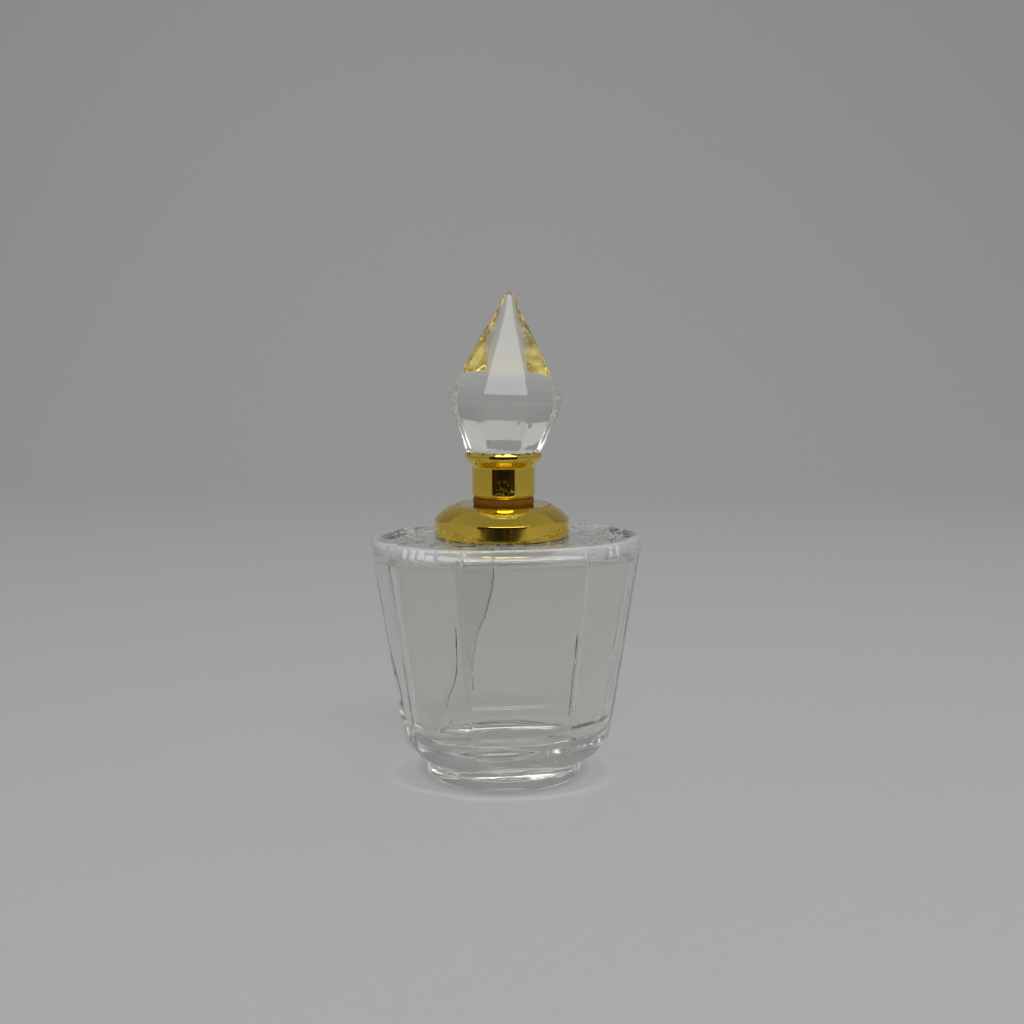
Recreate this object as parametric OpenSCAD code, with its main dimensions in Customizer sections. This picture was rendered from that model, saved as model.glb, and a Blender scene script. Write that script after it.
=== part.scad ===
// Glass perfume bottle with a gilt screw cap and a clear faceted finial.
// Millimetres, +Z up. The origin is the centre of the foot's resting face, on the neck's axis.
// The body's long side runs along X and its broad front panel faces -Y.

/* [Glass body] */
// Length of the body across its end lobes, at the rim
body_length = 43.8; // [41:0.2:48]
// Depth of the body across its broad panels, at the rim
body_depth = 30.6; // [28:0.2:34]
// Height of the flat top face
body_top = 38.3; // [34:0.1:44]
// Length of a broad front or back panel between its two grooves, at the rim
front_panel = 19.4; // [16:0.2:22]
// Length of an end panel between its two grooves, at the rim
end_panel = 11.8; // [10:0.2:13]
// Size of the plan just above the foot, as a share of its size at the rim
foot_taper = 0.73; // [0.68:0.01:0.82]
// How far the body stands off the neck's axis, along X
body_shift = 0.7; // [0:0.1:1]
// Thickness of the side walls
wall = 2.3; // [1.8:0.1:3]
// Thickness of the glass under the cavity
floor_thickness = 6.2; // [5:0.1:8]
// Thickness of the glass over the cavity
roof_thickness = 1.4; // [1.2:0.1:2.4]
// Depth of the narrow groove between two panels
groove_depth = 0.35; // [0.1:0.05:0.6]
// Width of that groove
groove_width = 0.9; // [0.4:0.1:1.4]

/* [Foot and glass neck] */
// Radius of the round foot
foot_r = 12.45; // [11:0.05:13.5]
// Height of the foot's upright side
foot_side = 1.8; // [1.2:0.1:2.4]
// Outer radius of the glass neck
glass_neck_r = 7.6; // [7:0.1:8]
// Radius of the bore through the glass neck
glass_bore_r = 4.3; // [4:0.05:5]
// Height of the glass neck above the top face
glass_neck_h = 3; // [2.6:0.1:3.4]

/* [Neck fitting] */
// Radius of the fitting's flat disc, where its seam with the collar shows
disc_r = 7.34; // [6.8:0.02:7.8]
// Height of the disc's top face above the body's top face
disc_rise = 5.1; // [4.9:0.1:5.8]
// Radius of the bore that the perfume is poured through
pour_r = 3; // [2.9:0.05:3.1]
// Radius of the spigot's wall between the threads
spigot_r = 3.55; // [3.5:0.05:3.6]
// Length of the spigot above the disc
spigot_h = 6.2; // [6:0.1:6.4]

/* [Collar] */
// Radius of the collar's upright band
collar_r = 10.7; // [10.2:0.05:11.2]
// Height of that band
collar_band = 2.3; // [2:0.1:3]
// Thickness of the collar's metal
collar_metal = 0.6; // [0.4:0.05:0.8]
// How far the collar's rim stands off the neck's axis, along X
collar_shift = -0.25; // [-0.4:0.05:0.4]

/* [Cap] */
// Outer radius of the ferrule's barrel
ferrule_r = 5; // [4.95:0.01:5.1]
// Radius of the flange that the finial stands on
flange_r = 6.07; // [5.8:0.01:6.4]
// Thickness of the washer under the ferrule
washer_h = 1.1; // [1:0.05:1.2]
// Height of the ferrule
ferrule_h = 7.35; // [7.3:0.05:7.6]

/* [Thread] */
// Rise of the cap in one full turn
pitch = 1.6; // [1.5:0.05:1.7]
// Turns of thread on the spigot
spigot_turns = 2.25; // [2:0.25:2.25]
// Turns of thread in the cap
cap_turns = 1.75; // [1.5:0.25:1.75]

/* [Finial] */
// Height of the whole bottle, to the finial's tip
total_h = 76.7; // [74:0.1:80]
// Half the finial's width across two opposite facets, at its girdle
girdle_half = 8.85; // [8:0.05:9.5]
// Height of the girdle above the ferrule's flange
girdle_rise = 8.4; // [7.5:0.1:9]
// Half the finial's width across two opposite facets, at its base
base_half = 5.9; // [5.4:0.05:6]
// Radius of the rounded tip
tip_r = 0.95; // [0.5:0.05:1]
// How far the finial leans from upright, in degrees
finial_lean = 2; // [0:0.1:2.5]
// Which way the finial's front facet is turned, in degrees about the neck's axis
finial_turn = -11; // [-22:1:22]

/* [Hidden] */
$fn = 96;
clear = 0.05;                  // running and assembly clearance
eps = 0.01;                    // overlap that joins two solids of one piece

// Plan of the body: an octagon whose panels are arcs, with a narrow groove at each corner
end_bulge = 1.8;
front_bulge = 0.9;
side_bulge = 1.45;
panel_steps = 5;
corner_x = body_length / 2 - end_bulge;
corner_y = body_depth / 2 - front_bulge;
body_corners = [
    [corner_x, -end_panel / 2], [corner_x, end_panel / 2],
    [front_panel / 2, corner_y], [-front_panel / 2, corner_y],
    [-corner_x, end_panel / 2], [-corner_x, -end_panel / 2],
    [-front_panel / 2, -corner_y], [front_panel / 2, -corner_y]
];
panel_bulges = [
    end_bulge, side_bulge, front_bulge, side_bulge,
    end_bulge, side_bulge, front_bulge, side_bulge
];

// Heights where the body's sides change from straight to rounded
tuck_z = 6;                    // the sides start to turn in towards the foot
tuck_end_z = 1;                // and end inside the foot
tuck = 0.34;                   // share of the plan lost in that turn
bevel_z = body_top - 1.4;      // the rim starts to round over
bevel = 0.035;                 // share of the plan lost over the rim
round_steps = 4;
foot_waist_r = 10.3;           // the foot narrows to this under the body
foot_waist_z = 4.6;
foot_edge = 0.2;               // bevel on the foot's two edges

// The cavity
cavity_floor_round = 4;
cavity_floor_tuck = 0.2;       // share of the plan lost in each of these two turns
cavity_roof_round = 1.2;
cavity_roof_tuck = 0.1;
cavity_roof_z = body_top - roof_thickness;

// Levels up the neck and the cap
lip_z = body_top + glass_neck_h;
gasket_h = 0.5;
disc_z = body_top + disc_rise;
spigot_top = disc_z + spigot_h;
ferrule_z = disc_z + washer_h + clear;
ferrule_top = ferrule_z + ferrule_h;
plate_z = ferrule_top - 1.7;   // underside of the plate between thread and finial
cup_z = plate_z + 0.5;         // bottom of the cup that holds the finial
cup_r = 5;

// Thread sections: depth is radial, halves are axial
spigot_crest_r = 4.05;
sleeve_r = 4.2;                // the sleeve's bore between its threads
sleeve_out_r = ferrule_r - 0.35;
sleeve_crest_r = 3.72;
thread_z = disc_z + 1.8;       // centre of the spigot's thread where it starts
thread_steps = 32;             // rings in one turn
fade_turns = 0.12;             // the ridge runs out over this share of a turn

// Outer radius of an octagon whose facets lie at a given distance from the axis
function octagon_r(half) = half / cos(22.5);

// Points along an arc from p to q, bulging outwards on an outline that runs anticlockwise
function arc_point(p, q, bulge, t) =
    let (chord = norm(q - p), along = (q - p) / chord, out = [along.y, -along.x],
         r = (chord * chord / 4 + bulge * bulge) / (2 * bulge),
         half_angle = asin(chord / 2 / r), a = half_angle * (2 * t - 1))
    (p + q) / 2 - out * (r - bulge) + r * (sin(a) * along + cos(a) * out);

// One panel: its starting corner sunk into the groove, then the arc between the two grooves
function panel(p, q, bulge) =
    let (edge = groove_width / 2 / norm(q - p))
    concat(
        [p * (1 - groove_depth / norm(p))],
        [for (i = [0 : panel_steps]) arc_point(p, q, bulge, edge + (1 - 2 * edge) * i / panel_steps)]
    );

body_outline = [
    for (i = [0 : 7]) each panel(body_corners[i], body_corners[(i + 1) % 8], panel_bulges[i])
];

// Share of the rim's plan that the straight side has at a height
function taper(z) = foot_taper + (1 - foot_taper) * z / bevel_z;

// Outside of the body as [height, share of plan]
body_levels = concat(
    [for (i = [0 : round_steps])
        let (a = 90 * i / round_steps, z = tuck_z - (tuck_z - tuck_end_z) * cos(a))
        [z, taper(z) - tuck * (1 - sin(a))]],
    [for (i = [0 : round_steps])
        let (a = 90 * i / round_steps)
        [bevel_z + (body_top - bevel_z) * sin(a), 1 - bevel * (1 - cos(a))]]
);

// Inside of the body as [height, share of plan], before the wall is taken off
cavity_levels = concat(
    [for (i = [0 : round_steps])
        let (a = 90 * i / round_steps, z = floor_thickness + cavity_floor_round * (1 - cos(a)))
        [z, taper(z) - cavity_floor_tuck * (1 - sin(a))]],
    [for (i = [0 : round_steps])
        let (a = 90 * i / round_steps, z = cavity_roof_z - cavity_roof_round * (1 - sin(a)))
        [z, taper(z) - cavity_roof_tuck * (1 - cos(a))]]
);

// A solid through rings that share one outline; inset is the wall taken off all round
module loft(outline, levels, inset = 0) {
    n = len(outline);
    last = len(levels) - 1;
    points = [
        for (level = levels) for (p = outline)
            [p.x * (level[1] - 2 * inset / body_length), p.y * (level[1] - 2 * inset / body_depth),
             level[0]]
    ];
    sides = [
        for (k = [0 : last - 1]) for (i = [0 : n - 1])
            let (a = k * n + i, b = k * n + (i + 1) % n)
            each [[a, a + n, b + n], [a, b + n, b]]
    ];
    ends = [[for (i = [0 : n - 1]) i], [for (i = [n - 1 : -1 : 0]) last * n + i]];
    polyhedron(points, concat(sides, ends));
}

// A helical ridge between two radii, with its axial half widths at each
module ridge(turns, start_angle, start_z, r_in, half_in, r_out, half_out, crest_outside) {
    rings = round(turns * thread_steps);
    points = [
        for (k = [0 : rings])
            let (t = k / thread_steps, a = start_angle + 360 * t, z = start_z + pitch * t,
                 fade = max(0.04, min(1, t / fade_turns, (turns - t) / fade_turns)),
                 inner = crest_outside ? r_in : r_out - (r_out - r_in) * fade,
                 outer = crest_outside ? r_in + (r_out - r_in) * fade : r_out)
            each [
                [inner * cos(a), inner * sin(a), z - half_in],
                [outer * cos(a), outer * sin(a), z - half_out],
                [outer * cos(a), outer * sin(a), z + half_out],
                [inner * cos(a), inner * sin(a), z + half_in]
            ]
    ];
    sides = [
        for (k = [0 : rings - 1]) for (i = [0 : 3])
            let (a = 4 * k + i, b = 4 * k + (i + 1) % 4)
            each [[a, b + 4, a + 4], [a, b, b + 4]]
    ];
    polyhedron(points, concat(sides, [[3, 2, 1, 0], [for (i = [0 : 3]) 4 * rings + i]]));
}

// A cylinder from one height to another
module cylinder_between(r, z_low, z_high) {
    translate([0, 0, z_low]) cylinder(h = z_high - z_low, r = r);
}

// A ring with a plain rectangular section
module ring(r_in, r_out, z, h) {
    rotate_extrude() translate([r_in, z]) square([r_out - r_in, h]);
}

// The round foot, with a cove from its upright side up to the waist
module foot() {
    rotate_extrude()
        polygon([
            [0, 0], [foot_r - foot_edge, 0], [foot_r, foot_edge], [foot_r, foot_side - foot_edge],
            [foot_r - foot_edge, foot_side], [foot_r - 1.25, foot_side + 0.6],
            [foot_waist_r + 0.2, foot_side + 1.4], [foot_waist_r, foot_waist_z], [0, foot_waist_z]
        ]);
}

module glass_body() {
    color([0.86, 0.9, 0.9, 0.45])
    difference() {
        union() {
            translate([body_shift, 0, 0]) loft(body_outline, body_levels);
            foot();
            cylinder_between(glass_neck_r, body_top - 1, lip_z);
        }
        translate([body_shift, 0, 0]) loft(body_outline, cavity_levels, inset = wall);
        cylinder_between(glass_bore_r, cavity_roof_z - 1, lip_z + 1);
    }
}

module neck_fitting() {
    color("goldenrod") {
        difference() {
            union() {
                cylinder_between(glass_bore_r - clear, body_top - 1, disc_z);
                cylinder_between(disc_r - clear, lip_z + gasket_h, disc_z);
                cylinder_between(spigot_r, disc_z - eps, spigot_top);
                ridge(spigot_turns, 0, thread_z, spigot_r - 0.2, 0.5, spigot_crest_r, 0.18, true);
            }
            cylinder_between(pour_r, body_top - 2, spigot_top + 1);
        }
    }
}

module lip_gasket() {
    color("gainsboro") ring(glass_bore_r + 0.1, glass_neck_r - 0.4, lip_z, gasket_h);
}

// The gilt dome; its rim stands a little off the hole that fits round the fitting's disc
module shoulder_collar() {
    band_top = body_top + clear + collar_band;
    lip_r = disc_r - 0.5;
    color("gold")
    difference() {
        translate([collar_shift, 0, 0])
        rotate_extrude()
            polygon([
                [collar_r, body_top + clear], [collar_r, band_top],
                [collar_r - 0.3, band_top + 0.75], [collar_r - 0.85, band_top + 1.45],
                [collar_r - 1.85, band_top + 2.15], [disc_r + 0.35, disc_z], [lip_r, disc_z],
                [lip_r, disc_z - 1.5], [disc_r + 0.35, disc_z - 1.5],
                [collar_r - 2.1, band_top + 1.3], [collar_r - 1.1, band_top + 0.5],
                [collar_r - collar_metal, band_top - 0.3], [collar_r - collar_metal, body_top + clear]
            ]);
        cylinder_between(disc_r, disc_z - 2, disc_z + 1);
    }
}

module neck_washer() {
    color("darkorange") ring(spigot_crest_r + 0.1, ferrule_r - 0.14, disc_z, washer_h);
}

module cap_liner() {
    color("white") cylinder_between(sleeve_r - 0.3, spigot_top + clear, plate_z - clear);
}

module cap_sleeve() {
    color("ivory") {
        ring(sleeve_r, sleeve_out_r - clear, ferrule_z + 0.1, plate_z - ferrule_z - 0.1 - eps);
        ridge(cap_turns, -90, thread_z + pitch / 4, sleeve_crest_r, 0.15, sleeve_r + 0.15, 0.32, false);
    }
}

module cap_ferrule() {
    color("gold")
    difference() {
        rotate_extrude()
            polygon([
                [0, ferrule_z], [ferrule_r - 0.35, ferrule_z], [ferrule_r, ferrule_z + 0.5],
                // the barrel flares into the flange
                [ferrule_r, plate_z - 0.75], [ferrule_r + 0.3, plate_z - 0.35],
                [flange_r - 0.25, plate_z + 0.25], [flange_r, plate_z + 0.8],
                [flange_r, ferrule_top - 0.25], [flange_r - 0.25, ferrule_top], [0, ferrule_top]
            ]);
        cylinder_between(sleeve_out_r, ferrule_z - 1, plate_z);
        cylinder_between(cup_r, cup_z, ferrule_top + 1);
    }
}

// One thin octagonal slice of the finial, with a facet facing -Y
module finial_slice(half, z) {
    rotate([0, 0, 22.5]) translate([0, 0, z]) cylinder(h = 0.02, r = octagon_r(half), $fn = 8);
}

module finial() {
    girdle_z = ferrule_top + girdle_rise;
    base_z = ferrule_top + clear;
    color([0.93, 0.93, 0.88, 0.6]) {
        intersection() {
            rotate([0, 0, finial_turn])
            translate([0, 0, ferrule_top]) rotate([0, finial_lean, 0]) translate([0, 0, -ferrule_top])
            hull() {
                finial_slice(base_half - 0.35, base_z - 0.5);
                finial_slice(base_half, base_z + 0.2);
                finial_slice(base_half + 1.3, base_z + 3.3);
                finial_slice(girdle_half - 0.42, girdle_z - 1.8);
                finial_slice(girdle_half, girdle_z);
                finial_slice(girdle_half - 0.18, girdle_z + 0.75);
                translate([0, 0, total_h - tip_r]) sphere(r = tip_r, $fn = 24);
            }
            translate([-20, -20, base_z]) cube([40, 40, total_h]);
        }
        cylinder_between(cup_r - clear, cup_z + clear, base_z + 0.5);
    }
}

glass_body();
neck_fitting();
lip_gasket();
shoulder_collar();
neck_washer();
cap_liner();
cap_sleeve();
cap_ferrule();
finial();
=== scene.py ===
"""Looks of the perfume bottle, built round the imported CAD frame.

Sizes in the functions below are millimetres, measured up from the foot, and are turned into
metres when a mesh is made. Every place comes from the CAD nodes' boxes.
"""

import math

import bmesh
import bpy
import numpy as np
from mathutils import Matrix, Vector, noise


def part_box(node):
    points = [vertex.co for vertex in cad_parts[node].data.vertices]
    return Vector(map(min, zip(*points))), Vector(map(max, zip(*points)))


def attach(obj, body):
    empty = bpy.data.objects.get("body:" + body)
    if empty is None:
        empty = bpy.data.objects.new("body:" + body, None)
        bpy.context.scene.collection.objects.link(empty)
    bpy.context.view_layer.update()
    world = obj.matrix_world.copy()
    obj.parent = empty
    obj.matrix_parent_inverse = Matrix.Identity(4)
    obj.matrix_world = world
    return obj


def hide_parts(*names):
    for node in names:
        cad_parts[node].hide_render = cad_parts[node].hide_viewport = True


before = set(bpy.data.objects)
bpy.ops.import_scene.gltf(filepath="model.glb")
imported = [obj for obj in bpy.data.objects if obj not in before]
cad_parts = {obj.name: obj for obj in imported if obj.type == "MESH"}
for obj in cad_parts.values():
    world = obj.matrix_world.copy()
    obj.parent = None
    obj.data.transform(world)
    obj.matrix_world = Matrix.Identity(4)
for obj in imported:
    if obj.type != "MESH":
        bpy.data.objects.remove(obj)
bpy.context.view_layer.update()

MM = 0.001
TAU = 2 * math.pi


# ---------------------------------------------------------------- the frame, in millimetres

def box_mm(node):
    """A node's lowest and highest corners, in millimetres."""
    low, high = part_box(node)
    return np.array(low) / MM, np.array(high) / MM


GLASS_LOW, GLASS_HIGH = box_mm("glass_body")
COLLAR_LOW, COLLAR_HIGH = box_mm("shoulder_collar")
WASHER_LOW, WASHER_HIGH = box_mm("neck_washer")
FITTING_LOW, FITTING_HIGH = box_mm("neck_fitting")
GASKET_LOW, GASKET_HIGH = box_mm("lip_gasket")
LINER_LOW, LINER_HIGH = box_mm("cap_liner")
SLEEVE_LOW, SLEEVE_HIGH = box_mm("cap_sleeve")
FERRULE_LOW, FERRULE_HIGH = box_mm("cap_ferrule")
FINIAL_HIGH = box_mm("finial")[1]

BODY_SHIFT = (GLASS_LOW[0] + GLASS_HIGH[0]) / 2     # the body stands a little off the neck's axis
HALF_LENGTH = (GLASS_HIGH[0] - GLASS_LOW[0]) / 2
HALF_DEPTH = (GLASS_HIGH[1] - GLASS_LOW[1]) / 2
BODY_TOP = COLLAR_LOW[2] - 0.05
LIP_Z = GLASS_HIGH[2]
DISC_Z = COLLAR_HIGH[2]                             # top of the fitting's disc and of the collar
DISC_R = (FITTING_HIGH[0] - FITTING_LOW[0]) / 2
COLLAR_R = (COLLAR_HIGH[0] - COLLAR_LOW[0]) / 2
COLLAR_SHIFT = (COLLAR_HIGH[0] + COLLAR_LOW[0]) / 2
WASHER_R = WASHER_HIGH[0]
SPIGOT_TOP = FITTING_HIGH[2]
FERRULE_Z = FERRULE_LOW[2]
FERRULE_TOP = FERRULE_HIGH[2]
FLANGE_R = FERRULE_HIGH[0]
SLEEVE_R = SLEEVE_HIGH[0]
LINER_R = LINER_HIGH[0]
TIP_Z = FINIAL_HIGH[2]

# Sizes that a box can't give, the same as in the CAD
WALL = 2.3
ROOF = 1.4
FLOOR_Z = 6.2
FOOT_R = 12.45
FOOT_SIDE = 1.8
WAIST_R = 10.3
NECK_R = 7.6
NECK_BORE_R = 4.3
POUR_R = 3.0
SPIGOT_R = 3.55
SPIGOT_CREST_R = 4.05
SLEEVE_BORE_R = 4.2
SLEEVE_CREST_R = 3.72
BARREL_R = 5.0
PITCH = 1.6
THREAD_Z = DISC_Z + 1.8
SPIGOT_TURNS = 2.25
SLEEVE_TURNS = 1.75
SPIGOT_RIDGE = (0.38, 0.18)                         # half widths of the ridge's foot and crest
SLEEVE_RIDGE = (0.27, 0.15)
PLATE_Z = FERRULE_TOP - 1.7
CUP_Z = PLATE_Z + 0.5
CUP_R = 5.0
FINIAL_TURN = -11.0
FINIAL_LEAN = 2.0


# ---------------------------------------------------------------- mesh helpers

def make_object(name, points, faces, material, smooth=True):
    """A mesh object at the origin from points in millimetres."""
    mesh = bpy.data.meshes.new(name)
    mesh.from_pydata((np.asarray(points) * MM).tolist(), [], faces)
    mesh.validate()
    mesh.polygons.foreach_set("use_smooth", [smooth] * len(mesh.polygons))
    mesh.materials.append(material)
    obj = bpy.data.objects.new(name, mesh)
    bpy.context.scene.collection.objects.link(obj)
    return obj


def ring_faces(rings, count, closed=False):
    """Quads between rings of count points each; closed joins the last ring to the first."""
    faces = []
    for k in range(rings if closed else rings - 1):
        here, there = k * count, ((k + 1) % rings) * count
        for i in range(count):
            j = (i + 1) % count
            faces.append((here + i, here + j, there + j, there + i))
    return faces


def rounded(corners, steps=5):
    """A line through (r, z, fillet) corners, with each fillet drawn as an arc."""
    line, n = [], len(corners)
    for k, (r, z, fillet) in enumerate(corners):
        here = np.array([r, z], float)
        if not fillet:
            line.append(here)
            continue
        before = np.array(corners[k - 1][:2], float) - here
        after = np.array(corners[(k + 1) % n][:2], float) - here
        u, v = before / np.linalg.norm(before), after / np.linalg.norm(after)
        half = math.acos(float(np.clip(u @ v, -1, 1))) / 2
        reach = min(fillet / math.tan(half), 0.49 * min(np.linalg.norm(before), np.linalg.norm(after)))
        for s in range(steps + 1):
            t = s / steps
            line.append(here + u * reach * (1 - t) ** 2 + v * reach * t ** 2)
    return np.array(line)


def fine(line, closed, step):
    """The same line with no stretch longer than step."""
    out, n = [], len(line)
    for k in range(n if closed else n - 1):
        a, b = line[k], line[(k + 1) % n]
        parts = max(1, math.ceil(np.linalg.norm(b - a) / step))
        out.extend(a + (b - a) * i / parts for i in range(parts))
    if not closed:
        out.append(line[-1])
    return np.array(out)


def lathe(name, line, material, segments=160, reshape=None, offset=None):
    """A closed ring of metal or plastic: the closed (r, z) line turned about the axis.

    reshape(r, z, angles) may move the radius, for a thread, and offset(r) the centre along X.
    """
    angles = np.arange(segments) * TAU / segments
    points = []
    for r, z in line:
        radii = np.full(segments, r) if reshape is None else reshape(r, z, angles)
        centre = offset(r) if offset else 0
        points.append(np.column_stack([radii * np.cos(angles) + centre, radii * np.sin(angles),
                                       np.full(segments, z)]))
    faces = ring_faces(len(line), segments, closed=True)
    return make_object(name, np.vstack(points), [f[::-1] for f in faces], material)


def disc(name, line, material, segments=128, reshape=None):
    """A solid of revolution whose (r, z) line starts and ends on the axis."""
    angles = np.arange(segments) * TAU / segments
    points = [[[0, 0, line[0][1]]]]
    for r, z in line[1:-1]:
        radii = np.full(segments, r) if reshape is None else reshape(r, z, angles)
        points.append(np.column_stack([radii * np.cos(angles), radii * np.sin(angles),
                                       np.full(segments, z)]))
    points.append([[0, 0, line[-1][1]]])
    rings, last = len(line) - 2, 1 + (len(line) - 2) * segments
    faces = [tuple(v + 1 for v in f)[::-1] for f in ring_faces(rings, segments)]
    for i in range(segments):
        j = (i + 1) % segments
        faces.append((0, 1 + i, 1 + j))
        faces.append((last, last - segments + j, last - segments + i))
    return make_object(name, np.vstack(points), faces, material)


def store(obj, name, values):
    """Keep a number for each point of a mesh, for its material."""
    obj.data.attributes.new(name, "FLOAT", "POINT").data.foreach_set("value", values.ravel())


def outward(obj):
    """Turn every face of a closed mesh outward."""
    bm = bmesh.new()
    bm.from_mesh(obj.data)
    bmesh.ops.recalc_face_normals(bm, faces=bm.faces)
    bm.to_mesh(obj.data)
    bm.free()


def helix_ridge(z, angles, turns, start_angle, start_z, half_low, half_high):
    """How much of a thread's full depth stands at height z, for each angle."""
    depth = np.zeros_like(angles)
    for k in range(-1, math.ceil(turns) + 1):
        t = (angles - start_angle) / TAU + k
        away = np.abs(z - (start_z + PITCH * t))
        shape = np.clip((half_low - away) / (half_low - half_high), 0, 1)
        fade = np.clip(np.minimum(t, turns - t) / 0.12, 0, 1)
        depth = np.maximum(depth, shape * fade)
    return depth


# ---------------------------------------------------------------- node materials

class Nodes:
    """A short way to write a material's node tree."""

    def __init__(self, name):
        self.material = bpy.data.materials.new(name)
        self.material.use_nodes = True
        self.tree = self.material.node_tree
        self.shader = self.tree.nodes["Principled BSDF"]
        self.position = self.add("ShaderNodeTexCoord").outputs["Object"]

    def add(self, kind, **values):
        """A node with its properties or inputs set; an input may be given another node's output."""
        node = self.tree.nodes.new(kind)
        for key, value in values.items():
            if hasattr(node, key):
                setattr(node, key, value)
            else:
                self.put(node.inputs[key.replace("_", " ").title()], value)
        return node

    def put(self, socket, value):
        """Link an output to an input, or set the input's value."""
        if isinstance(value, bpy.types.NodeSocket):
            self.tree.links.new(value, socket)
        else:
            socket.default_value = value

    def noise(self, scale, detail=3.0, roughness=0.5, distortion=0.0, stretch=None):
        """Noise between 0 and 1, scale in repeats a metre; stretch scales the three axes."""
        where = self.position
        if stretch:
            mapping = self.add("ShaderNodeMapping")
            self.put(mapping.inputs["Vector"], where)
            mapping.inputs["Scale"].default_value = stretch
            where = mapping.outputs["Vector"]
        node = self.add("ShaderNodeTexNoise", scale=scale, detail=detail, roughness=roughness,
                        distortion=distortion)
        self.put(node.inputs["Vector"], where)
        return node.outputs["Fac"]

    def attribute(self, name):
        """A number stored at the mesh's points."""
        node = self.add("ShaderNodeAttribute")
        node.attribute_name = name
        return node.outputs["Fac"]

    def cells(self, scale, randomness=1.0):
        """Distance to the nearest of scattered points, for specks."""
        node = self.add("ShaderNodeTexVoronoi", scale=scale, randomness=randomness)
        self.put(node.inputs["Vector"], self.position)
        return node.outputs["Distance"]

    def span(self, value, low, high, to_low=0.0, to_high=1.0):
        """Value mapped from one span to another, held at the ends."""
        node = self.add("ShaderNodeMapRange")
        node.clamp = True
        for socket, number in zip(node.inputs[1:5], (low, high, to_low, to_high)):
            socket.default_value = number
        self.put(node.inputs[0], value)
        return node.outputs[0]

    def math(self, operation, a, b=0.0):
        """One arithmetic step."""
        node = self.add("ShaderNodeMath")
        node.operation = operation
        self.put(node.inputs[0], a)
        self.put(node.inputs[1], b)
        return node.outputs[0]

    def mix(self, amount, a, b):
        """A colour between a and b."""
        node = self.add("ShaderNodeMix")
        node.data_type = "RGBA"
        self.put(node.inputs[0], amount)
        self.put(node.inputs[6], a)
        self.put(node.inputs[7], b)
        return node.outputs[2]

    def height(self):
        """Height above the foot, in metres."""
        split = self.add("ShaderNodeSeparateXYZ")
        self.put(split.inputs[0], self.position)
        return split.outputs["Z"]

    def radius(self, place=None):
        """Distance from the neck's axis, in metres, of the point or of another place."""
        split = self.add("ShaderNodeSeparateXYZ")
        self.put(split.inputs[0], place or self.position)
        x, y = split.outputs["X"], split.outputs["Y"]
        return self.math("SQRT", self.math("ADD", self.math("MULTIPLY", x, x),
                                           self.math("MULTIPLY", y, y)))

    def bump(self, value, strength, distance):
        """Surface relief from a value, distance in metres."""
        node = self.add("ShaderNodeBump", strength=strength, distance=distance)
        self.put(node.inputs["Height"], value)
        self.put(self.shader.inputs["Normal"], node.outputs["Normal"])

    def set(self, **values):
        """Set or link the shader's inputs."""
        for key, value in values.items():
            self.put(self.shader.inputs[key.replace("_", " ").title()
                                        .replace("Ior", "IOR")], value)


def glass_material():
    """Clear pressed glass with faint waves and finger smears.

    It has painted shade, a grey, on the rib of the cavity's wall and a painted whitish sheen round the rim,
    as the mesh's points say.
    """
    m = Nodes("clear_glass")
    smears = m.span(m.noise(220, 4, 0.6, 0.4), 0.52, 0.72)
    # painted sheen: near the rim less light goes through, so the glass shows whitish
    clear = m.span(m.attribute("rim_sheen"), 0, 1, 1.0, RIM_SHEEN_CLEAR)
    # painted shade: the rib on the cavity's wall is drawn grey in the base colour
    m.set(Base_Color=m.mix(m.attribute("rib_shade"), (0.925, 0.935, 0.908, 1), (0.72, 0.73, 0.705, 1)),
          IOR=1.51, Transmission_Weight=clear, Roughness=m.span(smears, 0, 1, 0.0, 0.03))
    waves = m.noise(110, 2, 0.4, 0.3, stretch=(1, 1, 0.35))
    m.bump(waves, 0.25, 0.0004)
    return m.material


def acrylic_material():
    """Clear moulded acrylic, faintly warm, with fine scratches."""
    m = Nodes("clear_acrylic")
    scratches = m.span(m.noise(900, 3, 0.5, 0.0, stretch=(1, 1, 0.12)), 0.62, 0.7)
    m.set(Base_Color=(0.95, 0.95, 0.92, 1), IOR=1.49, Transmission_Weight=1.0,
          Roughness=m.span(scratches, 0, 1, 0.0, 0.04))
    m.bump(m.noise(90, 2, 0.4), 0.12, 0.0003)
    return m.material


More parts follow.
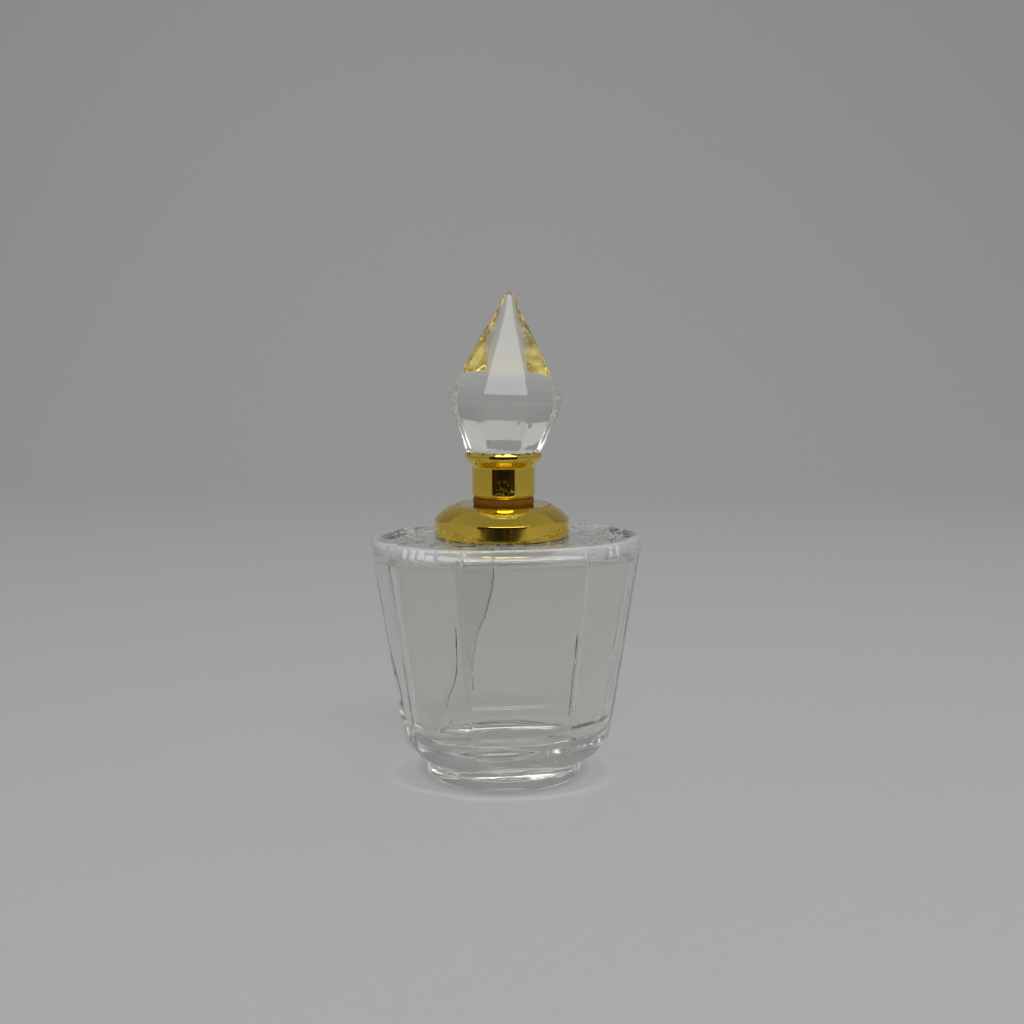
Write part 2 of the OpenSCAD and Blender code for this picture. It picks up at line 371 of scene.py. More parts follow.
def gilt_material(name, edge_z, edge_r, cup=False):
    """Polished gilt plating: warm, a little uneven, with dark pinholes and painted shade along its seams.

    Painted seam shade, broken into dark specks, follows the edge at height edge_z and radius
    edge_r, in millimetres; painted contact shade, broken up too, lies at the collar's foot where it
    meets the glass. The floor of a cup inside that radius is dull with glue.
    """
    m = Nodes(name)
    tone = m.mix(m.noise(160, 3, 0.5), (0.86, 0.60, 0.075, 1), (0.90, 0.65, 0.10, 1))
    pinholes = m.span(m.cells(900), 0.03, 0.10, 1, 0)
    patches = m.span(m.noise(260, 4, 0.6, 0.5), 0.56, 0.66)
    away_r = m.math("ABSOLUTE", m.math("SUBTRACT", m.radius(), edge_r * MM))
    away_z = m.math("ABSOLUTE", m.math("SUBTRACT", m.height(), edge_z * MM))
    # painted seam shade: dark specks along the edge, where the next part sits against it
    near = m.span(m.math("MAXIMUM", away_r, away_z), 0.0002, 0.0005, 1, 0)
    seam_shade_specks = m.span(m.noise(1100, 2, 0.6), 0.54, 0.57)
    # painted contact shade, broken up by noise, low on the collar where its foot meets the glass
    foot = m.span(m.height(), (COLLAR_LOW[2] + 0.12) * MM, (COLLAR_LOW[2] + 0.4) * MM, 1, 0)
    contact_shade_specks = m.span(m.noise(700, 3, 0.6), 0.44, 0.5)
    # real pinhole wear, joined with the painted seam and contact shade
    wear_and_painted_shade = m.math("MAXIMUM", m.math("MULTIPLY", pinholes, patches), m.math("MULTIPLY", near, seam_shade_specks))
    wear_and_painted_shade = m.math("MAXIMUM", wear_and_painted_shade, m.math("MULTIPLY", foot, contact_shade_specks))
    specks = m.span(m.noise(1500, 3, 0.7), 0.56, 0.62, 0, 0.34)
    thin = m.span(m.noise(230, 2, 0.5), 0.45, 0.6)
    polish = m.math("MAXIMUM", m.span(m.noise(420, 4, 0.6), 0.3, 0.75, 0.05, 0.11),
                    m.math("MULTIPLY", specks, thin))
    if cup:
        within = m.span(m.radius(), (CUP_R - 0.1) * MM, CUP_R * MM, 1, 0)
        above = m.span(m.height(), (PLATE_Z + 0.2) * MM, (PLATE_Z + 0.3) * MM)
        glued = m.math("MULTIPLY", within, above)
        swirls = m.span(m.noise(420, 3, 0.6, 0.8), 0.35, 0.65)
        glue = m.mix(swirls, (0.24, 0.20, 0.055, 1), (0.60, 0.49, 0.14, 1))
        tone = m.mix(glued, tone, glue)
        polish = m.math("MAXIMUM", polish, m.math("MULTIPLY", glued, 0.38))
    m.set(Base_Color=m.mix(wear_and_painted_shade, tone, (0.03, 0.02, 0.012, 1)),
          Metallic=m.span(wear_and_painted_shade, 0, 1, 1.0, 0.2), Roughness=polish)
    m.bump(m.noise(500, 2, 0.5), 0.03, 0.0001)
    return m.material


def washer_material():
    """Matte, slightly translucent amber washer."""
    m = Nodes("amber_washer")
    m.shader.inputs["Specular IOR Level"].default_value = 0.2
    m.set(Base_Color=m.mix(m.noise(500, 4, 0.6), (0.17, 0.07, 0.002, 1), (0.24, 0.11, 0.004, 1)),
          Roughness=m.span(m.noise(900, 3), 0.3, 0.7, 0.38, 0.6),
          Subsurface_Weight=0.15, Subsurface_Scale=0.001)
    m.bump(m.noise(1800, 3), 0.3, 0.00005)
    return m.material


def plastic_material(name, light, dark, rough, grain):
    """Moulded plastic, rubber or foam with a fine grain."""
    m = Nodes(name)
    m.set(Base_Color=m.mix(m.noise(400, 3), light, dark),
          Roughness=m.span(m.noise(1200, 3), 0.3, 0.7, rough - 0.08, rough + 0.08))
    m.bump(m.noise(grain, 3), 0.25, 0.00004)
    return m.material


# ---------------------------------------------------------------- the glass body

# Panels of the body's plan, each an arc with a bulge, from the right end anticlockwise
FRONT_PANEL = 19.4
END_PANEL = 11.8
END_BULGE = 1.8
FRONT_BULGE = 0.9
SIDE_BULGE = 1.45
BULGES = (END_BULGE, SIDE_BULGE, FRONT_BULGE, SIDE_BULGE) * 2
PANEL_STEPS = (48, 48, 64, 48, 48, 48, 72, 48)
FRONT_PANEL_INDEX = 6         # it starts at the front left corner
GROOVE_DEPTHS = (0.05, 0.06, 0.12, 0.12, 0.20, 0.16, 0.22, 0.18)
GROOVE_SPREAD = 0.3
RIM_NOTCH = 2.0
RIM_NOTCH_FADE = 1.3
FOOT_TAPER = 0.73
FOOT_ROUND = 0.25
COVE_HEIGHT = 2.4
COVE_CURVE = 2.2
TUCK_Z = 6.0
TUCK_END_Z = 1.0
TUCK = 0.34
RIM_ROUND = 1.4
RIM_SHARE = 0.035
# painted sheen round the rim: less light goes through there and the glass shows whitish
RIM_SHEEN_DEPTH = 4.0
RIM_SHEEN_FULL = 0.8               # of that depth, from the top down, where the painted rim sheen is at its full
RIM_SHEEN_CLEAR = 0.56             # share of clear glass where the painted rim sheen is full
POCKET_PLACE = (-6.0, -2.2)
POCKET_SPREAD = 2.8
POCKET_DEPTH = 0.9


def panel_arc(p, q, bulge, steps):
    """Points of a panel's arc from p towards q, closer together near the grooves."""
    chord = np.linalg.norm(q - p)
    along = (q - p) / chord
    out = np.array([along[1], -along[0]])
    r = (chord ** 2 / 4 + bulge ** 2) / (2 * bulge)
    half = math.asin(chord / 2 / r)
    s = np.arange(steps) / steps
    t = s - 0.8 * np.sin(TAU * s) / TAU
    a = half * (2 * t - 1)
    arc = (p + q) / 2 - out * (r - bulge) + r * (np.outer(np.sin(a), along) + np.outer(np.cos(a), out))
    return arc, t * chord, (1 - t) * chord


def body_plan():
    """The body's plan at the rim, without grooves: eight arcs that meet at corners.

    Also gives how deep the groove at the nearest corner reaches at each point, and the front left
    corner's place in the list.
    """
    cx, cy = HALF_LENGTH - END_BULGE, HALF_DEPTH - FRONT_BULGE
    ex, fy = END_PANEL / 2, FRONT_PANEL / 2
    corners = np.array([[cx, -ex], [cx, ex], [fy, cy], [-fy, cy],
                        [-cx, ex], [-cx, -ex], [-fy, -cy], [fy, -cy]])
    arcs, groove = [], []
    for i in range(8):
        j = (i + 1) % 8
        arc, after, before = panel_arc(corners[i], corners[j], BULGES[i], PANEL_STEPS[i])
        arcs.append(arc)
        groove.append(GROOVE_DEPTHS[i] * np.exp(-(after / GROOVE_SPREAD) ** 2)
                      + GROOVE_DEPTHS[j] * np.exp(-(before / GROOVE_SPREAD) ** 2))
    return np.vstack(arcs), np.concatenate(groove), sum(PANEL_STEPS[:FRONT_PANEL_INDEX])


def softened(plan, passes):
    """A plan with its corners rounded by averaging neighbours."""
    for _ in range(passes):
        plan = (np.roll(plan, 1, axis=0) + 2 * plan + np.roll(plan, -1, axis=0)) / 4
    return plan


def distance_along(plan, start):
    """Signed length along a closed plan from one of its points, negative before it."""
    steps = np.linalg.norm(np.diff(plan, axis=0, append=plan[:1]), axis=1)
    length = np.concatenate([[0], np.cumsum(steps)[:-1]])
    away = length - length[start]
    return (away + steps.sum() / 2) % steps.sum() - steps.sum() / 2


def smooth_step(x):
    """0 below 0, 1 above 1 and an easy curve between."""
    x = np.clip(x, 0, 1)
    return x * x * (3 - 2 * x)


def taper(z):
    """Share of the rim's plan that the straight side has at a height."""
    return FOOT_TAPER + (1 - FOOT_TAPER) * z / (BODY_TOP - RIM_ROUND)


def foot_radius(z):
    """Radius of the round foot at a height, narrowing in a cove to the waist."""
    if z < FOOT_ROUND:
        return FOOT_R - FOOT_ROUND + math.sqrt(max(0, FOOT_ROUND ** 2 - (FOOT_ROUND - z) ** 2))
    if z < FOOT_SIDE - FOOT_ROUND:
        return FOOT_R
    if z < FOOT_SIDE:
        return FOOT_R - FOOT_ROUND + math.sqrt(FOOT_ROUND ** 2 - (z - FOOT_SIDE + FOOT_ROUND) ** 2)
    t = min(1, (z - FOOT_SIDE) / COVE_HEIGHT)
    return WAIST_R + (FOOT_R - FOOT_ROUND - WAIST_R) * (1 - t) ** COVE_CURVE


def at_height(plan, z):
    """A plan's points lifted to a height, or to a height each."""
    return np.column_stack([plan, np.broadcast_to(z, len(plan))])


# Lines on the cavity's wall, as (height, distance to the right of the front left corner)
RIB_EDGE = [(12, -1.5), (14, -1), (16, -0.3), (21, 0.1), (25, 1.1), (28, 2.8),
            (32, 4.1), (35, 4.5), (37, 4.2)]
LEFT_FOLD = [(10, -5), (11.5, -5.7), (13.3, -6), (15, -5.3), (17, -4), (19, -3.2), (21, -2.9), (26, -2.6)]
RIB_START = -1.8
RIB_LOW_Z = 12
RIB_DEPTH = 0.55
FOLD_LOW_Z = 9.5
FOLD_HALF = 0.3
LEFT_FOLD_DEPTH = 0.22
LEFT_FOLD_EXTRA = 0.18        # deeper by this much below LEFT_FOLD_BEND_Z
LEFT_FOLD_BEND_Z = 20
LEFT_FOLD_TOP_Z = 27.5
RIGHT_FOLD_PLACE = FRONT_PANEL + 1.8
RIGHT_FOLD_DEPTH = 0.2
RIGHT_FOLD_TOP_Z = 26
WAVE_DEPTH = 0.22             # of the slow waves all over the cavity's wall


def wall_line(line, z):
    """Where a line on the cavity's wall stands at a height."""
    heights, places = zip(*line)
    return np.interp(z, heights, places)


def thick_rib(z, from_left):
    """Where the thicker glass rib by the front left corner lies at a height, 0 to 1."""
    to_edge = from_left - wall_line(RIB_EDGE, z)
    across = smooth_step((from_left - RIB_START) / 0.45) * (1 - smooth_step(to_edge / 0.4))
    return across * smooth_step((z - RIB_LOW_Z) / 2)


def fold_shape(away):
    """A fold's cross-section, 0 to 1, at a distance from its line."""
    return np.exp(-(away / FOLD_HALF) ** 2)


def inner_wall(z, from_left):
    """How far the cavity's wall stands in at a height.

    It does at the thick rib, at a fold of glass beside it and at one by the front right corner.
    """
    rib = RIB_DEPTH * thick_rib(z, from_left)
    left_depth = LEFT_FOLD_DEPTH + LEFT_FOLD_EXTRA * smooth_step((LEFT_FOLD_BEND_Z - z) / 3)
    left_ends = smooth_step((z - FOLD_LOW_Z) / 1.5) * smooth_step((LEFT_FOLD_TOP_Z - z) / 2)
    left_fold = left_depth * left_ends * fold_shape(from_left - wall_line(LEFT_FOLD, z))
    right_ends = smooth_step((z - FOLD_LOW_Z) / 3) * smooth_step((RIGHT_FOLD_TOP_Z - z) / 3)
    right_fold = RIGHT_FOLD_DEPTH * right_ends * fold_shape(from_left - RIGHT_FOLD_PLACE)
    return rib + left_fold + right_fold


def glass_body():
    """One closed skin: foot, sides, top face, neck, bore and cavity."""
    plan, groove, front_left = body_plan()
    inward = -plan / np.linalg.norm(plan, axis=1)[:, None]
    direction = -inward
    shift = np.array([BODY_SHIFT, 0])
    rings = []

    def outer(z):
        notch = 1 + RIM_NOTCH * math.exp((z - BODY_TOP) / RIM_NOTCH_FADE)
        return plan + inward * (notch * groove)[:, None]

    # underside of the foot, slightly hollow
    for r, z in [(0.02, 0.35), (3, 0.34), (6, 0.3), (9, 0.18), (10.8, 0.05), (11.6, 0.0), (12.0, 0.0)]:
        rings.append(at_height(direction * r, z))
    # foot and sides: at each height the larger of the foot's circle and the body's plan
    heights = np.concatenate([np.array([0.02, 0.06, 0.12, 0.18, 0.25]), np.linspace(0.45, 1.5, 5),
                              np.linspace(1.55, 1.8, 5), np.linspace(1.9, 6.2, 34),
                              np.linspace(6.6, BODY_TOP - RIM_ROUND, 48)])
    for z in heights:
        low = max(z, TUCK_END_Z)
        share = taper(low)
        if low < TUCK_Z:
            share -= TUCK * (1 - math.sqrt(1 - ((TUCK_Z - low) / (TUCK_Z - TUCK_END_Z)) ** 2))
        side = outer(z) * share + shift
        reach = np.linalg.norm(side, axis=1)
        foot = foot_radius(z) if z < 5 else 0
        blend = 0.22 if z > FOOT_SIDE else 0.02
        joined = (reach + foot) / 2 + np.sqrt(((reach - foot) / 2) ** 2 + blend ** 2 / 4)
        if z < FOOT_SIDE - 0.3:
            joined = np.full_like(reach, foot)
        rings.append(at_height(side / reach[:, None] * joined[:, None], z))
    # the rim rolls over on to the top face
    for a in np.linspace(0, math.pi / 2, 9)[1:]:
        z = BODY_TOP - RIM_ROUND * (1 - math.sin(a))
        rings.append(at_height(outer(z) * (1 - RIM_SHARE * (1 - math.cos(a))) + shift, z))
    rim, outside = rings[-1][:, :2], len(rings)
    for t in np.linspace(0, 1, 34)[1:]:
        face = rim * (1 - t) + direction * NECK_R * t
        wrinkle = np.array([
            noise.noise(Vector((x * 0.42, y * 0.42, 3.1))) + noise.noise(Vector((x * 1.1, y * 1.1, 9.7)))
            for x, y in face
        ])
        reach = np.linalg.norm(face, axis=1)
        free = min(1, t * 6) * smooth_step((reach - COLLAR_R - 0.5) / 2)
        ends = 0.12 + 0.34 * smooth_step((np.abs(face[:, 0]) - 9) / 5)
        rings.append(at_height(face, BODY_TOP + free * ends * wrinkle))
    # neck, lip and bore
    for r, z in [(NECK_R, BODY_TOP + 0.4), (NECK_R, LIP_Z - 0.3), (NECK_R - 0.08, LIP_Z - 0.08),
                 (NECK_R - 0.3, LIP_Z), (NECK_BORE_R + 0.3, LIP_Z), (NECK_BORE_R + 0.08, LIP_Z - 0.08),
                 (NECK_BORE_R, LIP_Z - 0.3), (NECK_BORE_R, BODY_TOP - ROOF + 0.4)]:
        rings.append(at_height(direction * r, z))

    inner = softened(plan, 500)
    from_left = distance_along(inner, front_left)
    squeeze = np.array([WALL / HALF_LENGTH, WALL / HALF_DEPTH])

    def cavity(z, lost):
        wall = inner * (taper(z) - lost - squeeze) + shift
        waves = np.array([noise.noise(Vector((x * 0.16, y * 0.16, z * 0.09 + 5))) for x, y in wall])
        stand = inner_wall(z, from_left) + WAVE_DEPTH * waves
        return at_height(wall + inward * stand[:, None], z)

    # roof of the cavity
    inside = len(rings)
    roof_z, roof_round, roof_lost = BODY_TOP - ROOF, 2.2, 0.12
    roof = cavity(roof_z, roof_lost)[:, :2]
    for t in np.linspace(0, 1, 8):
        start = direction * (NECK_BORE_R + 0.25)
        rings.append(at_height(start * (1 - t) + roof * t, roof_z + 0.05 * (1 - t)))
    for a in np.linspace(0, math.pi / 2, 12)[1:]:
        rings.append(cavity(roof_z - roof_round * (1 - math.cos(a)), roof_lost * (1 - math.sin(a))))
    # its walls and its rounded floor
    floor_round, floor_lost = 4.0, 0.2
    for z in np.linspace(roof_z - roof_round, FLOOR_Z + floor_round, 56)[1:]:
        rings.append(cavity(z, 0))
    for a in np.linspace(0, math.pi / 2, 18)[1:]:
        rings.append(cavity(FLOOR_Z + floor_round * (1 - math.sin(a)), floor_lost * (1 - math.cos(a))))
    floor = rings[-1][:, :2]
    # the floor has a shallow pocket at its left end
    for t in np.linspace(0, 1, 22)[1:]:
        bottom = (floor - shift) * (1 - 0.998 * t) + shift
        pocket = np.exp(-((bottom - POCKET_PLACE) ** 2).sum(axis=1) / POCKET_SPREAD ** 2)
        rings.append(at_height(bottom, FLOOR_Z - 0.35 * t * (2 - t) - POCKET_DEPTH * t * pocket))

    count = len(plan)
    faces = ring_faces(len(rings), count)
    faces.append(tuple(range(count))[::-1])
    faces.append(tuple(range((len(rings) - 1) * count, len(rings) * count)))
    glass = make_object("bottle_glass", np.vstack(rings), faces, glass_material())
    # painted whitish sheen round the outside of the rim, and painted grey shade on the rib of the cavity's
    # wall
    height = np.array([ring[:, 2] for ring in rings])
    rim_sheen = smooth_step((height - BODY_TOP + RIM_SHEEN_DEPTH) / (RIM_SHEEN_DEPTH - RIM_SHEEN_FULL))
    rim_sheen[outside:] = 0
    rib_shade = np.zeros_like(height)
    for k in range(inside, len(rings)):
        rib_shade[k] = thick_rib(height[k, 0], from_left)
    store(glass, "rim_sheen", rim_sheen)
    store(glass, "rib_shade", rib_shade)
    outward(glass)
    glass.visible_shadow = False
    return glass


# ---------------------------------------------------------------- neck parts

def shoulder_collar(material):
    """The gilt dome; its rim stands a little off the hole round the fitting's disc."""
    band = DISC_Z - 2.3
    hole = DISC_R + 0.05
    start, bend, end = np.array([(COLLAR_R, band), (COLLAR_R - 1.45, DISC_Z - 0.45), (hole + 0.05, DISC_Z)])
    dome = [tuple(start * (1 - t) ** 2 + 2 * bend * t * (1 - t) + end * t ** 2) + (0,)
            for t in np.linspace(0.05, 1, 24)]
    line = rounded([(COLLAR_R, COLLAR_LOW[2], 0.12), (COLLAR_R, band, 0.3)] + dome + [
        (hole, DISC_Z - 0.05, 0), (hole, DISC_Z - 1.5, 0),
        (COLLAR_R - 2.1, band + 0.85, 0), (COLLAR_R - 1.1, band + 0.1, 0.3),
        (COLLAR_R - 0.6, band - 0.6, 0.3), (COLLAR_R - 0.6, COLLAR_LOW[2], 0.1)
    ], 10)

    def off_centre(r):
        return COLLAR_SHIFT * min(1, max(0, (r - hole) / 0.5))

    return lathe("collar_dome", fine(line, True, 0.25), material, 320, offset=off_centre)


def neck_fitting(material):
    """Disc, plug and threaded spigot with the pouring bore through them."""
    plug_r, plug_z = NECK_BORE_R - 0.05, FITTING_LOW[2]
    flange_z = GASKET_HIGH[2]
    line = rounded([
        (plug_r, plug_z, 0.1), (plug_r, flange_z, 0), (DISC_R, flange_z, 0.05), (DISC_R, DISC_Z, 0.1),
        (SPIGOT_R, DISC_Z, 0.1), (SPIGOT_R, SPIGOT_TOP, 0.12), (POUR_R, SPIGOT_TOP, 0.12),
        (POUR_R, plug_z, 0.1)
    ])
    line = fine(line, True, 0.07)

    def thread(r, z, angles):
        if abs(r - SPIGOT_R) > 0.01:
            return np.full_like(angles, r)
        rise = helix_ridge(z, angles, SPIGOT_TURNS, 0, THREAD_Z, *SPIGOT_RIDGE)
        return r + (SPIGOT_CREST_R - SPIGOT_R) * rise

    return lathe("fitting_threaded", line, material, 160, thread)


def cap_sleeve(material):
    """Threaded sleeve inside the ferrule."""
    line = rounded([
        (SLEEVE_BORE_R, SLEEVE_LOW[2], 0.1), (SLEEVE_BORE_R, SLEEVE_HIGH[2], 0),
        (SLEEVE_R, SLEEVE_HIGH[2], 0), (SLEEVE_R, SLEEVE_LOW[2], 0.1)
    ])[::-1]
    line = fine(line, True, 0.07)

    def thread(r, z, angles):
        if abs(r - SLEEVE_BORE_R) > 0.01:
            return np.full_like(angles, r)
        rise = helix_ridge(z, angles, SLEEVE_TURNS, -math.pi / 2, THREAD_Z + PITCH / 4, *SLEEVE_RIDGE)
        return r - (SLEEVE_BORE_R - SLEEVE_CREST_R) * rise

    return lathe("sleeve_threaded", line, material, 160, thread)


def lip_gasket(material):
    """Soft ring on the glass lip."""
    inner_r, outer_r = NECK_BORE_R + 0.1, GASKET_HIGH[0]
    line = rounded([(inner_r, GASKET_LOW[2], 0.12), (outer_r, GASKET_LOW[2], 0.12),
                    (outer_r, GASKET_HIGH[2], 0.12), (inner_r, GASKET_HIGH[2], 0.12)])
    return lathe("gasket_ring", line, material, 128)


def neck_washer(material):
    """Amber washer, slightly barrelled by the cap's squeeze."""
    inner_r, low, high = SPIGOT_CREST_R + 0.1, WASHER_LOW[2], WASHER_HIGH[2]
    middle = (low + high) / 2
    line = rounded([(inner_r, low, 0), (WASHER_R - 0.1, low, 0.15), (WASHER_R, middle, 0.6),
                    (WASHER_R - 0.1, high, 0.15), (inner_r, high, 0)])
    return lathe("washer_ring", line, material, 160)


def cap_liner(material):
    """Foam disc that closes the pouring bore."""
    line = rounded([(0, LINER_LOW[2], 0), (LINER_R, LINER_LOW[2], 0.1), (LINER_R, LINER_HIGH[2], 0.1),
                    (0, LINER_HIGH[2], 0)])
    return disc("liner_disc", line, material)


def cap_ferrule(material):
    """Gilt ferrule: barrel, cove, flange and the finial's cup."""
    outline = [(BARREL_R - 0.35, FERRULE_Z, 0.06), (BARREL_R, FERRULE_Z + 0.5, 0.25),
               (BARREL_R, PLATE_Z - 0.75, 0.25), (BARREL_R + 0.3, PLATE_Z - 0.35, 0.2),
               (FLANGE_R - 0.25, PLATE_Z + 0.25, 0.4), (FLANGE_R, PLATE_Z + 0.7, 0.35),
               (FLANGE_R, FERRULE_TOP - 0.5, 0.25),
               (FLANGE_R - 0.3, FERRULE_TOP, 0.15), (CUP_R, FERRULE_TOP, 0.03), (CUP_R, CUP_Z, 0.05),
               (0.02, CUP_Z, 0), (0.02, PLATE_Z, 0), (SLEEVE_R + 0.03, PLATE_Z, 0),
               (SLEEVE_R + 0.03, FERRULE_Z, 0.05)]
    return lathe("ferrule_shell", fine(rounded(outline), True, 0.4), material, 256)


# ---------------------------------------------------------------- the finial

GIRDLE_HALF = 8.85
GIRDLE_RISE = 8.4
BASE_HALF = 5.9
TIP_R = 0.95
FACET_ROUND = 1.8
EMBED = 0.02          # the acrylic sinks this far into the gilt cup, as glue holds it


def finial(material):
    """Eight-sided acrylic point on a short spigot, its edges soft as a moulding's are."""
    base, girdle = FERRULE_TOP - EMBED, FERRULE_TOP + GIRDLE_RISE
    spigot_r = CUP_R - 0.05
    outline = [(0, CUP_Z - EMBED, 0), (spigot_r, CUP_Z - EMBED, 0.1), (spigot_r, base, 0),
               (BASE_HALF, base, 0.15), (BASE_HALF + 0.1, base + 0.5, 0.5),
               (BASE_HALF + 1.3, base + 3.4, 4), (GIRDLE_HALF - 0.42, girdle - 1.8, 3),
               (GIRDLE_HALF, girdle, 1.6), (GIRDLE_HALF - 0.18, girdle + 0.75, 1.6)]
    outline += [(TIP_R * math.cos(a), TIP_Z - TIP_R * (1 - math.sin(a)), 0)
                for a in np.linspace(0.45, 1.5, 8)]
    outline.append((0, TIP_Z, 0))

    def facets(half, z, angles):
        if z <= base:
            return np.full_like(angles, half)
        sharp = max(12, 9.1 * half / FACET_ROUND)
        facing = sum(np.maximum(0, np.cos(angles - TAU * k / 8)) ** sharp for k in range(8))
        return half * facing ** (-1 / sharp)

    crystal = disc("finial_crystal", fine(rounded(outline, 8), False, 0.4), material, 480, facets)
    pivot = Matrix.Translation((0, 0, FERRULE_TOP * MM))
    lean = pivot @ Matrix.Rotation(math.radians(FINIAL_LEAN), 4, "Y") @ pivot.inverted()
    for vertex in crystal.data.vertices:
        share = float(smooth_step((vertex.co.z / MM - base) / 1.5))
        vertex.co = vertex.co.lerp(lean @ vertex.co, share)
    crystal.data.transform(Matrix.Rotation(math.radians(FINIAL_TURN), 4, "Z"))
    outward(crystal)
    crystal.visible_shadow = False
    return crystal


# ---------------------------------------------------------------- stage, light and camera

CAMERA_TURN = -11.0           # the camera stands this far round from the body's own front
CAMERA_PLACE = (1.343, -212.97, 70.78)
CAMERA_PITCH = 7.68
CAMERA_LENS = 47.41


def turned(point):
    """A point given in the camera's heading, in metres in the row frame."""
    return Matrix.Rotation(math.radians(CAMERA_TURN), 3, "Z") @ (Vector(point) * MM)


# On the paper round the foot, in metres
SHADOW_R = (0.0125, 0.0150)   # where the contact shadow starts and ends
LIGHT_RING_R = 0.0181
LIGHT_RING_HALF = 0.0016
LIGHT_RING_WOBBLE = 0.0008
LIGHT_RING_SHIFT = 0.0019     # moves the ring's centre towards the camera
LIGHT_RING_SQUASH = 1.29      # the ring is this much narrower from front to back


def stage_material():
    """Pale grey paper, with the soft shadow and the ring of light that clear glass casts on it.

    The glass itself casts no shadow here, because a path tracer would make it a black one.
    """
    m = Nodes("stage_paper")
    fibres = m.noise(600, 4, 0.6)
    paper = m.mix(fibres, (0.50, 0.50, 0.495, 1), (0.53, 0.53, 0.525, 1))
    contact = m.span(m.radius(), *SHADOW_R, 1, 0)
    ring = m.add("ShaderNodeMapping")
    m.put(ring.inputs["Vector"], m.position)
    ring.inputs["Location"].default_value = (0, LIGHT_RING_SHIFT, 0)
    ring.inputs["Scale"].default_value = (1, LIGHT_RING_SQUASH, 1)
    wobble = m.span(m.noise(60, 2), 0.3, 0.7, -LIGHT_RING_WOBBLE, LIGHT_RING_WOBBLE)
    ring_radius = m.math("ADD", m.radius(ring.outputs["Vector"]), wobble)
    within = m.span(ring_radius, LIGHT_RING_R - 0.0021, LIGHT_RING_R - 0.0005, 0.2, 0)
    off_ring = m.math("ABSOLUTE", m.math("SUBTRACT", ring_radius, LIGHT_RING_R))
    bright = m.span(off_ring, 0.0, LIGHT_RING_HALF, 1, 0)
    axes = m.add("ShaderNodeSeparateXYZ")
    m.put(axes.inputs[0], m.position)
    to_front = m.span(axes.outputs["Y"], -0.015, -0.004, 0.9, 0.2)
    low = m.span(m.height(), 0.001, 0.002, 1, 0)
    dark = m.math("MULTIPLY", m.math("MAXIMUM", m.math("MULTIPLY", contact, 0.8), within), low)
    light = m.math("MULTIPLY", m.math("MULTIPLY", bright, to_front), low)
    lit = m.mix(light, m.mix(dark, paper, (0.34, 0.34, 0.335, 1)), (0.62, 0.62, 0.61, 1))
    m.set(Base_Color=lit, Roughness=0.9)
    return m.material


def backdrop():
    """A floor that curves up into a wall behind."""
    half, front, back, bend, top = 1200, -900, 380, 450, 1100
    line = [(front, 0), (back, 0)]
    line += [(back + bend * math.sin(a), bend * (1 - math.cos(a))) for a in np.linspace(0, math.pi / 2, 24)]
    line += [(back + bend, top)]
    points = [[x, y, z] for y, z in line for x in (-half, half)]
    faces = [(2 * k, 2 * k + 1, 2 * k + 3, 2 * k + 2) for k in range(len(line) - 1)]
    paper = make_object("backdrop", points, faces, stage_material())
    paper.rotation_euler[2] = math.radians(CAMERA_TURN)


def card(name, place, size, material, heading=0.0, tilt=90.0):
    """A flat card that only reflections see."""
    width, height = size
    points = [[-width / 2, -height / 2, 0], [width / 2, -height / 2, 0], [width / 2, height / 2, 0],
              [-width / 2, height / 2, 0]]
    flag = make_object(name, points, [(0, 1, 2, 3)], material, smooth=False)
    flag.location = turned(place)
    flag.rotation_euler = (math.radians(tilt), 0, math.radians(CAMERA_TURN + heading))
    flag.visible_camera = False
    flag.visible_shadow = False
    flag.visible_diffuse = False
    flag.visible_transmission = False


def area_light(name, place, size, power, target=(0, 0, 40), seen_in_metal=True):
    """A soft box aimed at the bottle; it may be left out of mirror reflections."""
    data = bpy.data.lights.new(name, "AREA")
    data.shape = "RECTANGLE"
    data.size, data.size_y = size[0] * MM, size[1] * MM
    data.energy = power
    light = bpy.data.objects.new(name, data)
    light.location = turned(place)
    aim = turned(target) - light.location
    light.rotation_euler = aim.to_track_quat("-Z", "Y").to_euler()
    light.visible_glossy = seen_in_metal
    bpy.context.scene.collection.objects.link(light)


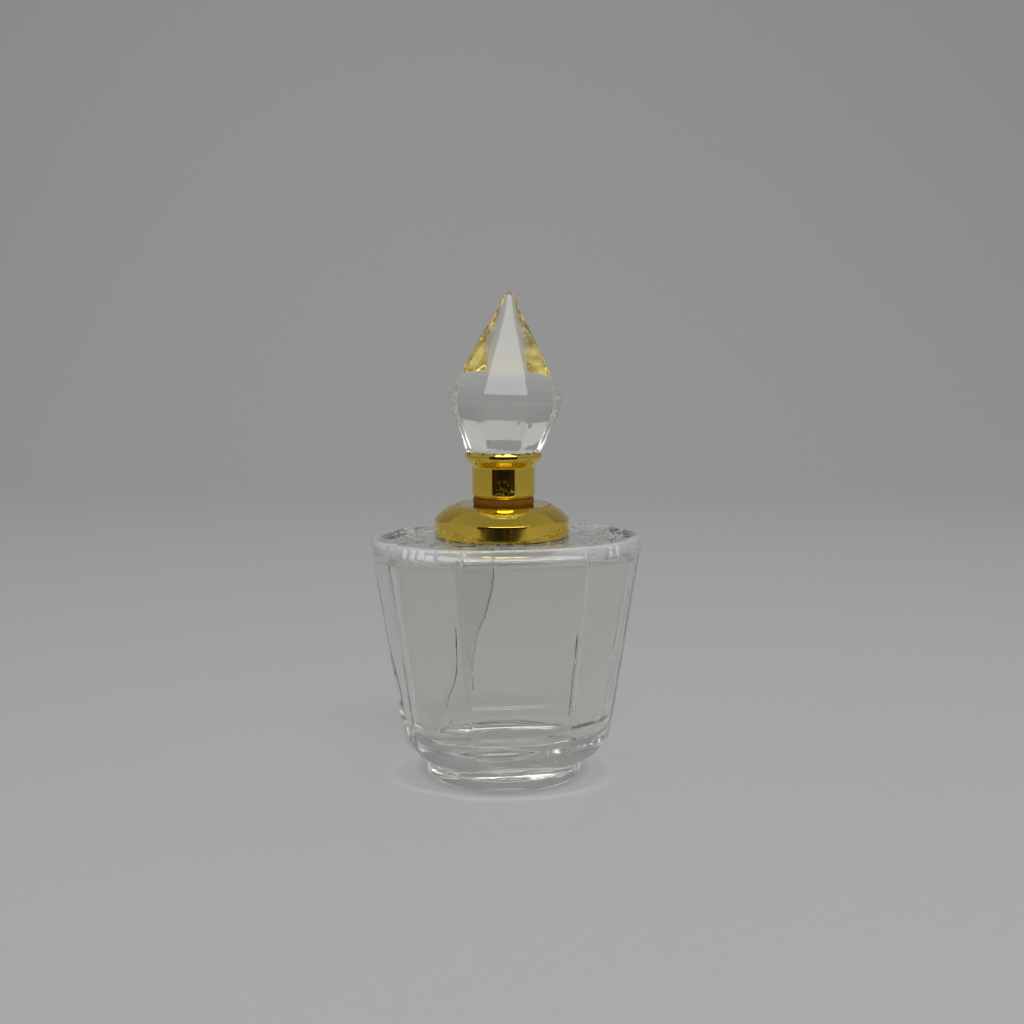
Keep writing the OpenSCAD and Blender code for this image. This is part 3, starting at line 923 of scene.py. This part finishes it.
def lighting():
    """Soft grey room, one overhead box in front, a weak fill behind and a wash on the wall.

    A dark card with brown streaks stands in front for the gilt to reflect.
    """
    world = bpy.data.worlds.new("room")
    world.use_nodes = True
    sky = world.node_tree.nodes["Background"]
    direction = world.node_tree.nodes.new("ShaderNodeTexCoord")
    axes = world.node_tree.nodes.new("ShaderNodeSeparateXYZ")
    # the room's light fades from the horizon up to the ceiling
    fall = world.node_tree.nodes.new("ShaderNodeMapRange")
    for socket, number in zip(fall.inputs[1:5], (0.1, 0.95, 0.39, 0.26)):
        socket.default_value = number
    world.node_tree.links.new(direction.outputs["Generated"], axes.inputs[0])
    world.node_tree.links.new(axes.outputs["Z"], fall.inputs[0])
    world.node_tree.links.new(fall.outputs[0], sky.inputs["Strength"])
    sky.inputs["Color"].default_value = (0.99, 0.99, 1, 1)
    bpy.context.scene.world = world
    area_light("front_box", (50, -265, 404), (420, 130), 0.68)
    area_light("back_box", (60, 200, 620), (900, 600), 0.62, seen_in_metal=False)
    area_light("wall_wash", (0, -150, 900), (700, 300), 2.0, target=(0, 900, 250), seen_in_metal=False)
    dark = Nodes("dark_card")
    streaks = dark.span(dark.noise(9, 3, 0.6, stretch=(2.4, 2.4, 0.15)), 0.5, 0.6)
    dark.set(Base_Color=dark.mix(streaks, (0.012, 0.011, 0.01, 1), (0.09, 0.03, 0.015, 1)), Roughness=0.9)
    card("dark_card", (0, -226, 108), (404, 220), dark.material)


def camera():
    """The photograph's viewpoint."""
    data = bpy.data.cameras.new("camera")
    data.lens = CAMERA_LENS
    data.sensor_width = 36
    data.clip_start, data.clip_end = 0.01, 10
    eye = bpy.data.objects.new("camera", data)
    eye.location = turned(CAMERA_PLACE)
    eye.rotation_euler = (math.radians(90 - CAMERA_PITCH), 0, math.radians(CAMERA_TURN))
    bpy.context.scene.collection.objects.link(eye)
    bpy.context.scene.camera = eye


# ---------------------------------------------------------------- put it together

def place(piece, body, node, slot):
    """A piece rides on its body and stands for its CAD node; slot is not used."""
    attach(piece, body)
    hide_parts(node)


camera()
backdrop()
lighting()
bpy.context.scene.view_settings.view_transform = "Standard"
bpy.context.scene.cycles.max_bounces = 24
bpy.context.scene.cycles.glossy_bounces = 16
bpy.context.scene.cycles.transmission_bounces = 24

# both gilts carry painted seam shade, the ferrule's at the flange's top edge and the neck's round the disc;
# the neck's also has painted contact shade at the collar's foot
gilt = gilt_material("gilt_metal", FERRULE_TOP, FLANGE_R - 0.2, cup=True)
gilt_neck = gilt_material("gilt_metal_neck", DISC_Z, DISC_R)
place(glass_body(), "bottle", "glass_body", "clear_glass")
place(shoulder_collar(gilt_neck), "bottle", "shoulder_collar", "gilt_metal")
place(neck_fitting(gilt_neck), "bottle", "neck_fitting", "gilt_metal")
place(lip_gasket(plastic_material("gasket_rubber", (0.7, 0.7, 0.68, 1), (0.6, 0.6, 0.58, 1), 0.6, 2500)),
      "bottle", "lip_gasket", "gasket_rubber")
place(neck_washer(washer_material()), "bottle", "neck_washer", "amber_washer")
place(cap_liner(plastic_material("liner_plastic", (0.9, 0.9, 0.88, 1), (0.82, 0.82, 0.8, 1), 0.7, 4000)),
      "liner", "cap_liner", "liner_plastic")
place(cap_sleeve(plastic_material("sleeve_plastic", (0.85, 0.82, 0.74, 1), (0.8, 0.77, 0.68, 1),
                                  0.35, 1500)),
      "cap", "cap_sleeve", "sleeve_plastic")
place(cap_ferrule(gilt), "cap", "cap_ferrule", "gilt_metal")
place(finial(acrylic_material()), "cap", "finial", "clear_acrylic")
